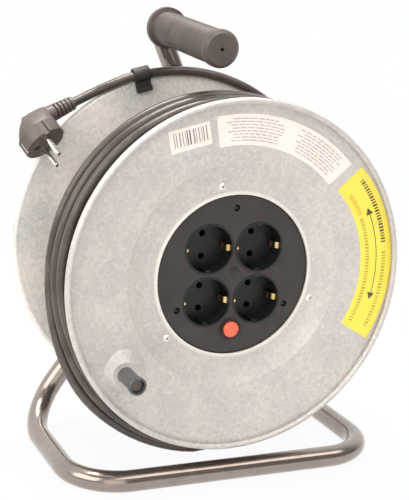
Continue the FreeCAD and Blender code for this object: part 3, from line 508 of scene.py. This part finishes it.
def addWinding():
    # One tube on the winding's centre line. Its first end dips into the layer below, and its
    # last end runs straight on by the cord's width, into the tail.
    turn = np.linspace(0, windTurns, int(windTurns * winding["pointsPerTurn"]))
    path = windingLine(turn)
    outward = unit(path * [1, 0, 1])
    dip = winding["startDip"] * (1 - smoothStep(turn / winding["startDipTurn"]))
    path = path - outward * dip[:, None]
    heading = unit(path[-1] - path[-2])
    path = np.concatenate([path, path[-1:] + heading * 2 * cord["radius"]])
    outward = np.concatenate([outward, outward[-1:]])
    path = place(path)
    tube = sweep(path, outward, cord["radius"] / perMetre, cord["sides"])
    piece = addSurface("cordWinding", tube, materials["cord"], "drum",
                       wrapColumns=True, crease=cord["crease"])
    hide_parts("cord_winding")
    return path[-1], heading


underLayer = {
    "front": 15.0,
    "rear": 141.5,
    "gap": 0.6,              # air between the outer turns and the layer below
    "offBarrel": 0.3,        # air between the layer and the barrel
    "rows": 181,
    "step": 2.5,             # degrees between its points round the drum
}


def addUnderLayer():
    # The layers under the outer one: a cone with a round ridge, the top of a circle as wide as
    # the cord, that winds between the outer turns, closed down to the barrel at both ends.
    depth = np.linspace(underLayer["front"], underLayer["rear"], underLayer["rows"])[:, None]
    angle = np.arange(0, 360, underLayer["step"])
    share = (depth - winding["front"]) / (winding["rear"] - winding["front"])
    outer = winding["frontRadius"] + (winding["rearRadius"] - winding["frontRadius"]) * share
    turns = ((depth - winding["rear"]) / winding["pitch"] + windTurns
             + (angle - winding["endAngle"]) / 360)
    fromRidge = (turns % 1 - 0.5) * winding["pitch"]
    ridge = np.sqrt(np.maximum(0, cord["radius"] ** 2 - fromRidge ** 2))
    radius = outer - 2 * cord["radius"] - underLayer["gap"] + ridge
    inner = np.full((1, len(angle)), drum["barrelRadius"] + underLayer["offBarrel"])
    radius = np.concatenate([inner, radius, inner])
    depth = np.concatenate([depth[:1], depth, depth[-1:]])
    piece = addSurface("cordUnderLayer", place(polar(radius, angle, depth)), materials["cord"],
                       "drum", wrapRows=True, wrapColumns=True,
                       crease=cord["crease"])
    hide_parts("winding_core")


plug = {
    "centre": (-125.0, 130.0, 88.8),
    "pinWay": (0.40, -0.65, -0.65),
    "cableWay": (0.90, 0.16, 0.39),
    "cableLine": 22.5,       # mm that the cord's line stands behind the middle
    "reliefStart": 21.0,
}


def behindPlug(alongCable):
    # A point so many mm along the cord's line out of the plug, which runs the cable's way made
    # square to the pins.
    ahead = unit(np.array(plug["pinWay"]))
    along = np.array(plug["cableWay"])
    along = unit(along - ahead * (along @ ahead))
    return np.array(plug["centre"]) + along * alongCable - ahead * plug["cableLine"]


tail = {
    # angle, radius and depth of the route's own points, as given in the CAD source
    "route": [(340, 139.06, 90), (0, 141.96, 110), (20, 146.02, 128), (40, 149.93, 141.0),
              (61, 150.95, 147.7), (83, 150.95, 148.1), (104, 150.66, 148.0),
              (115, 149.79, 149.5)],
    "firstRun": 32.0,        # mm straight on from the winding
    "lastCorner": 59.0,      # mm from the plug's middle
    "length": 0.506,
    "roundness": 6,          # steps of the bevel and of each stretch of the spline
    "smoothness": 24,
}


def addTail(start, heading):
    # A smooth spline drawn by the route's points: straight on from the winding, up behind the
    # rear rim, through the clip and into the plug.
    points = [start, start + heading * tail["firstRun"] / perMetre]
    points += [place(polar(radius, angle, depth)) for angle, radius, depth in tail["route"]]
    points += [place(behindPlug(tail["lastCorner"])), place(behindPlug(plug["reliefStart"]))]
    data = bpy.data.curves.new("cordTail", "CURVE")
    data.dimensions = "3D"
    data.bevel_depth = cord["radius"] / perMetre
    data.bevel_resolution = tail["roundness"]
    data.use_fill_caps = True
    data.resolution_u = tail["smoothness"]
    spline = data.splines.new("NURBS")
    spline.points.add(len(points) - 1)
    for control, point in zip(spline.points, points):
        control.co = (*point, 1.0)
    spline.order_u = 3
    spline.use_endpoint_u = True
    data.materials.append(materials["cord"])
    piece = bpy.data.objects.new("cordTail", data)
    bpy.context.scene.collection.objects.link(piece)
    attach(piece, "drum")
    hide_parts("cord_tail")


innerLead = {
    "fromRight": 56,         # from the terminal housing to the gland
    "toRight": 82,
    "depth": 45.0,
    "points": 5,
}


def addInnerLead():
    # The cord's inner end, a straight tube from the gland into the terminal housing.
    count = innerLead["points"]
    right = np.linspace(innerLead["fromRight"], innerLead["toRight"], count)
    path = place(np.stack([right, np.full(count, innerLead["depth"]), np.zeros(count)], -1))
    tube = sweep(path, np.array([[0, 0, 1.0]]), cord["radius"] / perMetre, cord["sides"])
    piece = addSurface("innerLead", tube, materials["cord"], "drum",
                       wrapColumns=True, crease=cord["crease"])
    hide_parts("inner_lead")


windEnd, windHeading = addWinding()
addUnderLayer()
addTail(windEnd, windHeading)
addInnerLead()
print("cord wound, tail and inner lead laid")


springEnds = {
    # middles of the cups, right and up
    "cups": [(-21.85, 21.85), (21.85, 21.85), (-21.85, -21.85), (21.85, -21.85)],
    "across": 19.2,          # from a cup's middle to the end of its left earth spring
    "depth": 15.6,
    "half": (1.1, 1.1, 1.5), # half sizes in width, depth and height
    "power": 0.75,           # below one, it gives the ball flatter sides
    "rows": 13,
    "step": 15,              # degrees between points round the ball
}


def addSpringEnds():
    # The rounded ends of the left earth springs, which look out at the rim of each cup: a ball
    # whose three coordinates are raised to the power and drawn out to the half sizes.
    rise = np.radians(np.linspace(-90, 90, springEnds["rows"]))[:, None]
    turn = np.radians(np.arange(0, 360, springEnds["step"]))
    ball = np.stack([np.cos(rise) * np.cos(turn), np.cos(rise) * np.sin(turn),
                     np.sin(rise) + 0 * turn], -1)
    ball = np.sign(ball) * np.abs(ball) ** springEnds["power"] * springEnds["half"]
    for number, (x, z) in enumerate(springEnds["cups"], 1):
        points = ball + [x - springEnds["across"], springEnds["depth"], z]
        addSurface("earthSpringEnd%d" % number, place(points), materials["brass"], "drum",
                   wrapColumns=True)


addSpringEnds()
print("earth spring ends set in the cups")


buttonSpring = {
    "wire": 0.7,             # mm, square
    "coil": 4.55,            # mm from the button's axis to the wire's middle
    "turns": 4,
    "pointsPerTurn": 24,
    "foot": 0.1,             # mm from the coil's end to what it stands on
    "keep": 0.59,            # share of its length that is left under the pressed button
}


def addButtonSpring():
    # The hidden coil between the button and the cut-out, which shortens as the button goes in:
    # a circle whose depth grows evenly with its angle.
    low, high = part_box("button_spring")
    half = buttonSpring["wire"] / 2
    turns = buttonSpring["turns"]
    turn = np.radians(np.linspace(0, 360 * turns, turns * buttonSpring["pointsPerTurn"] + 1))
    outward = np.stack([np.cos(turn), np.zeros(len(turn)), np.sin(turn)], -1)
    path = outward * buttonSpring["coil"] / perMetre
    path += [(low.x + high.x) / 2, 0, (low.z + high.z) / 2]
    path[:, 1] = np.linspace(low.y + half / perMetre, high.y - half / perMetre, len(turn))
    # the wire's corners stand halfway between outward and backward
    tube = sweep(path, outward + [0, 1, 0], half * math.sqrt(2) / perMetre, 4)
    piece = addSurface("buttonSpring", tube, materials["zinc"], "drum",
                       wrapColumns=True)
    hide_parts("button_spring")
    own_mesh(piece)


addButtonSpring()
print("button spring coiled")


# Labels

sticker = {
    "thick": 0.12,
    "ink": 0.03,             # how far the printing stands on it
    "crease": 30,
    "mostMarks": 60,         # in a printed row
    "degreesPerStep": 2,     # along a curved mark
}


def roundedSpan(across, half, corner):
    # How much a rounded rectangle narrows at each height across it: a quarter circle at the ends.
    into = np.maximum(0, np.abs(across) - (half - corner))
    return corner - np.sqrt(np.maximum(0, corner ** 2 - into ** 2))


def heightsAcross(half, rows):
    # Heights from one edge of a label to the other, by a sine, so closest at its round corners.
    return half * np.sin(np.linspace(-90, 90, rows) * math.pi / 180)


def onFace(x, z, lift):
    # Points on the drum's conical face, so far in front of it.
    return np.stack([x, faceDepth(np.hypot(x, z)) - lift, z], -1)


def addPlate(name, x, z, material):
    # A label: a grid laid on the face, the same grid at the label's front, and sides between.
    rows, columns = x.shape
    number = np.arange(rows * columns).reshape(rows, columns)
    rim = np.concatenate([number[0], number[1:, -1], number[-1, -2::-1], number[-2:0:-1, 0]])
    around = np.stack([rim, np.roll(rim, -1)], -1)
    sides = np.stack([around[:, 0], around[:, 1], around[:, 1] + x.size, around[:, 0] + x.size], -1)
    flat = gridQuads(rows, columns)
    points = np.stack([onFace(x, z, sticker["thick"]), onFace(x, z, 0)]).reshape(-1, 3)
    mesh = bpy.data.meshes.new(name)
    mesh.from_pydata(place(points), [], np.concatenate([flat, flat + x.size, sides]))
    finishPiece(name, mesh, material, "drum", sticker["crease"])


def addPrint(name, outlines, material):
    # Printing: each outline, of x and z corners, is drawn out from a little inside its label to
    # a little in front of it.
    corners, faces, start = [], [], 0
    for outline in outlines:
        x, z = np.asarray(outline, float).T
        count = len(x)
        corners += [onFace(x, z, sticker["thick"] + sticker["ink"]),
                    onFace(x, z, sticker["thick"] - sticker["ink"])]
        front = start + np.arange(count)
        after = np.roll(front, -1)
        faces += [front.tolist(), (front + count).tolist()]
        faces += np.stack([front, after, after + count, front + count], -1).tolist()
        start += 2 * count
    mesh = bpy.data.meshes.new(name)
    mesh.from_pydata(place(np.concatenate(corners)), [], faces)
    finishPiece(name, mesh, material, "drum", sticker["crease"])


def onBand(band, radius, degrees):
    # x and z of points at a radius and angle about the middle of a label's own circle, which
    # lies at its offset from the drum's axis.
    middle = polar(band["offset"], band["toward"], 0)
    points = polar(radius, degrees, 0) + middle
    return points[..., 0], points[..., 2]


def arcBar(band, radius, height, start, end):
    # Outline of a bar that follows a circle: along its outer edge and back along its inner one.
    steps = max(2, int(abs(end - start) / sticker["degreesPerStep"]) + 2)
    angle = np.linspace(start, end, steps)
    radii = np.repeat([radius + height / 2, radius - height / 2], steps)
    return np.stack(onBand(band, radii, np.concatenate([angle, angle[::-1]])), -1)


def arcRow(band, radius, height, start, end, lengths, gap, random):
    # A row of bars of uneven length, laid one after another until the row's end.
    sizes = random.uniform(*lengths, sticker["mostMarks"])
    last = np.cumsum(sizes + gap)
    last = last[last < math.radians(end - start) * radius]
    first = np.concatenate([[0], last[:-1]])
    toAngle = math.degrees(1 / radius)
    return [arcBar(band, radius, height, end - a * toAngle, end - (b - gap) * toAngle)
            for a, b in zip(first, last)]


def addBandLabel(name, band):
    # A band of a circle between two radii and two angles, its corners rounded.
    half = (band["outer"] - band["inner"]) / 2
    height = heightsAcross(half, band["rows"])
    radius = band["inner"] + half + height
    trim = np.degrees(roundedSpan(height, half, band["corner"]) / radius)
    spread = np.linspace(0, 1, band["columns"])
    along = (band["to"] - band["from"] - 2 * trim)[:, None] * spread
    angle = (band["from"] + trim)[:, None] + along
    addPlate(name, *onBand(band, radius[:, None], angle), materials[name])


smallLabel = {
    "middle": (-46.8, 113.2),
    "tilt": 14.0,
    "width": 35.0,
    "height": 18.3,
    "corner": 0.6,
    "rows": 31,
    "columns": 30,
    "stripeCount": 13,
    "stripeWidth": 30.0,     # of all the stripes together
    "stripeHeight": 12.0,
    "stripeRise": 0.8,       # mm above the label's middle
    "stripeSpans": (0.5, 1.6),    # narrowest and widest, before they are scaled to the width
    "stripeThin": 0.62,      # share of its span that a stripe fills
}


def onSmall(x, z):
    # Places on the small label, turned by its tilt, so its lines rise to the right.
    tilt = math.radians(smallLabel["tilt"])
    return (smallLabel["middle"][0] + x * math.cos(tilt) - z * math.sin(tilt),
            smallLabel["middle"][1] + x * math.sin(tilt) + z * math.cos(tilt))


def addSmallLabel(random):
    # A rounded rectangle with a plain row of upright stripes, wider and narrower by turns.
    size = smallLabel
    half = size["height"] / 2
    height = heightsAcross(half, size["rows"])
    trim = roundedSpan(height, half, size["corner"])
    x = np.linspace(-1, 1, size["columns"]) * (size["width"] / 2 - trim)[:, None]
    addPlate("smallLabel", *onSmall(x, np.broadcast_to(height[:, None], x.shape)),
             materials["whiteLabel"])
    edges = np.cumsum(random.uniform(*size["stripeSpans"], 2 * size["stripeCount"]))
    edges = (edges / edges[-1] - 0.5) * size["stripeWidth"]
    top = size["stripeHeight"] / 2 + size["stripeRise"]
    bottom = -size["stripeHeight"] / 2 + size["stripeRise"]
    spans = [(a, a + (b - a) * size["stripeThin"]) for a, b in zip(edges[::2], edges[1::2])]
    outlines = [np.array([onSmall(a, bottom), onSmall(b, bottom), onSmall(b, top), onSmall(a, top)])
                for a, b in spans]
    addPrint("smallLabelStripes", outlines, materials["stripeInk"])


yellowLabel = {
    # a band of a circle whose middle is offset from the drum's axis, towards an angle
    "offset": 21.5,
    "toward": 6.75,
    "from": -31.6,
    "to": 45.1,
    "inner": 92.5,
    "outer": 120.4,
    "corner": 1.5,
    "rows": 41,
    "columns": 120,
    # rows of plain ticks: radius, height, from and to angle, ink
    "tickRows": [(113.4, 3.8, 9.0, 40.6, "blackInk"), (113.2, 3.4, -29.0, 6.4, "oliveInk"),
                 (98.6, 3.4, 26.0, 38.4, "orangeInk"), (98.4, 3.2, -29.0, 24.6, "oliveInk")],
    "ticks": (0.9, 1.9),     # shortest and longest, along the row
    "tickGap": 1.1,
}

arrow = {
    "from": -15.7,
    "to": 28.1,
    "radius": 106.6,
    "line": 0.7,
    "headLength": 6.0,
    "headWidth": 6.6,
}


def addYellowPrint(random):
    # Rows of ticks, and an arc with a triangle on each end: a plain double arrow.
    inks = {"blackInk": [], "oliveInk": [], "orangeInk": []}
    for radius, height, start, end, ink in yellowLabel["tickRows"]:
        inks[ink] += arcRow(yellowLabel, radius, height, start, end, yellowLabel["ticks"],
                            yellowLabel["tickGap"], random)
    headAngle = math.degrees(arrow["headLength"] / arrow["radius"])
    inks["blackInk"].append(arcBar(yellowLabel, arrow["radius"], arrow["line"],
                                   arrow["from"] + headAngle, arrow["to"] - headAngle))
    half = arrow["headWidth"] / 2
    radii = np.array([0, half, -half]) + arrow["radius"]
    for tip, way in ((arrow["from"], 1), (arrow["to"], -1)):
        base = tip + way * headAngle
        head = onBand(yellowLabel, radii, np.array([tip, base, base]))
        inks["blackInk"].append(np.stack(head, -1))
    for ink, outlines in inks.items():
        addPrint("yellowLabel" + ink[0].upper() + ink[1:], outlines, materials[ink])


whiteLabel = {
    "offset": 0.0,
    "toward": 72.0,
    "from": 43.0,
    "to": 101.3,
    "inner": 107.0,
    "outer": 132.0,
    "corner": 1.0,
    "rows": 41,
    "columns": 120,
    "lineCount": 8,
    "lineGap": 2.5,
    "lineHeight": 1.0,
    "firstLine": 3.6,        # mm in from the outer edge
    "bars": (2.0, 8.0),      # shortest and longest, along a line
    "barGap": 1.0,
    "blocks": [(73.5, 98.0), (45.5, 68.5)],    # angles between which the lines run
    "ragged": 3,             # degrees by which a line may start later
}


def addWhitePrint(random):
    # Lines of bars in two blocks, each line starting raggedly.
    size = whiteLabel
    bars = []
    for i in range(size["lineCount"]):
        radius = size["outer"] - size["firstLine"] - i * size["lineGap"]
        for start, end in size["blocks"]:
            ragged = end - size["ragged"] * random.random()
            bars += arcRow(size, radius, size["lineHeight"], start, ragged, size["bars"],
                           size["barGap"], random)
    addPrint("whiteLabelLines", bars, materials["greyInk"])


random = np.random.default_rng(6)
addBandLabel("yellowLabel", yellowLabel)
addBandLabel("whiteLabel", whiteLabel)
addSmallLabel(random)
addYellowPrint(random)
addWhitePrint(random)
print("labels stuck on and printed")


studio = {
    "floor": "#cfcdcb",
    "floorHalf": 5.0,          # metres from the reel to the floor's edge
    "floorGlow": (0.94, 1.0),  # how much of the floor's white is its own, near the reel and far
    "glowReach": (0.30, 1.0),  # metres from the reel between which it grows
    "worldDiffuse": 0.42,
    "room": 0.16,              # how bright gloss shows the room in front of the reel
    "roomEdge": (-0.2, 0.4),   # depth of a direction, from -1 to 1, between room and white
    "warmth": (1.0, 0.95, 0.90),
    "aimHeight": 0.18,         # metres, what the lamps point at
    "lamps": {
        "key": {"place": (0.80, -1.90, 2.72), "wide": 4.0, "high": 1.3, "watts": 46},
        "left": {"place": (-2.40, -0.80, 1.52), "wide": 2.4, "high": 2.0, "watts": 52},
        "top": {"place": (-0.20, 0.30, 2.90), "wide": 1.8, "high": 1.4, "watts": 110},
        "front": {"place": (-1.20, -3.60, 1.02), "wide": 2.6, "high": 2.6, "watts": 30},
    },
}


def seenDirectly(tree):
    # One for rays from the camera and for what gloss and glass show, nought for lighting.
    path = addNode(tree, "LightPath").outputs
    seen = addNode(tree, "Math", {0: path["Is Camera Ray"], 1: path["Is Glossy Ray"]},
                   operation="MAXIMUM").outputs[0]
    return addNode(tree, "Math", {0: seen, 1: path["Is Transmission Ray"]},
                   operation="MAXIMUM").outputs[0]


def addFloor():
    # Painted studio floor: matt, pale, and bright enough of its own to fade into white.
    half = studio["floorHalf"]
    mesh = bpy.data.meshes.new("floor")
    mesh.from_pydata([(-half, -half, 0), (half, -half, 0), (half, half, 0), (-half, half, 0)],
                     [], [(0, 1, 2, 3)])
    material, tree, shader, where = newMaterial("paleStudioFloor", Roughness=0.9,
                                                Base_Color=linear(studio["floor"]))
    distance = addNode(tree, "VectorMath", {0: where}, operation="LENGTH").outputs["Value"]
    reach, glow = studio["glowReach"], studio["floorGlow"]
    share = addNode(tree, "MapRange", {"Value": distance, "From Min": reach[0],
                                       "From Max": reach[1], "To Min": glow[0],
                                       "To Max": glow[1]}).outputs["Result"]
    white = addNode(tree, "Emission", {"Color": (1, 1, 1, 1), "Strength": 1.0})
    seen = addNode(tree, "Math", {0: seenDirectly(tree), 1: share}, operation="MULTIPLY")
    mixed = addNode(tree, "MixShader", {0: seen.outputs[0], 1: shader.outputs[0],
                                        2: white.outputs[0]})
    tree.links.new(mixed.outputs[0], tree.nodes["Material Output"].inputs["Surface"])
    mesh.materials.append(material)
    floor = bpy.data.objects.new("floor", mesh)
    bpy.context.scene.collection.objects.link(floor)


def addWorld():
    # White to the camera and dimmer as light. Gloss also shows the dimmer room on the side
    # where the camera stands, above the white floor.
    world = bpy.data.worlds.new("studio")
    world.use_nodes = True
    bpy.context.scene.world = world
    tree = world.node_tree
    way = addNode(tree, "TexCoord").outputs["Generated"]
    depth = addNode(tree, "SeparateXYZ", {"Vector": way}).outputs["Y"]
    room = addNode(tree, "MapRange", {"Value": depth, "From Min": studio["roomEdge"][0],
                                      "From Max": studio["roomEdge"][1],
                                      "To Min": studio["room"], "To Max": 1.0}).outputs["Result"]
    cameraRay = addNode(tree, "LightPath").outputs["Is Camera Ray"]
    shown = addNode(tree, "Math", {0: room, 1: cameraRay}, operation="MAXIMUM").outputs[0]
    strength = addNode(tree, "MapRange", {"Value": seenDirectly(tree), "To Max": shown,
                                          "To Min": studio["worldDiffuse"]}).outputs["Result"]
    background = tree.nodes["Background"].inputs
    background["Color"].default_value = (1, 1, 1, 1)
    tree.links.new(strength, background["Strength"])


def addLamps():
    # Large soft panels that point at the reel, hidden from the camera.
    aim = Vector((0, 0, studio["aimHeight"]))
    for name, lamp in studio["lamps"].items():
        data = bpy.data.lights.new(name, "AREA")
        data.shape = "RECTANGLE"
        data.size = lamp["wide"]
        data.size_y = lamp["high"]
        data.energy = lamp["watts"]
        data.color = studio["warmth"]
        light = bpy.data.objects.new(name, data)
        light.location = lamp["place"]
        light.rotation_euler = (aim - light.location).to_track_quat("-Z", "Y").to_euler()
        light.visible_camera = False
        bpy.context.scene.collection.objects.link(light)


addFloor()
addWorld()
addLamps()
bpy.context.scene.view_settings.view_transform = "Standard"
print("studio lit")
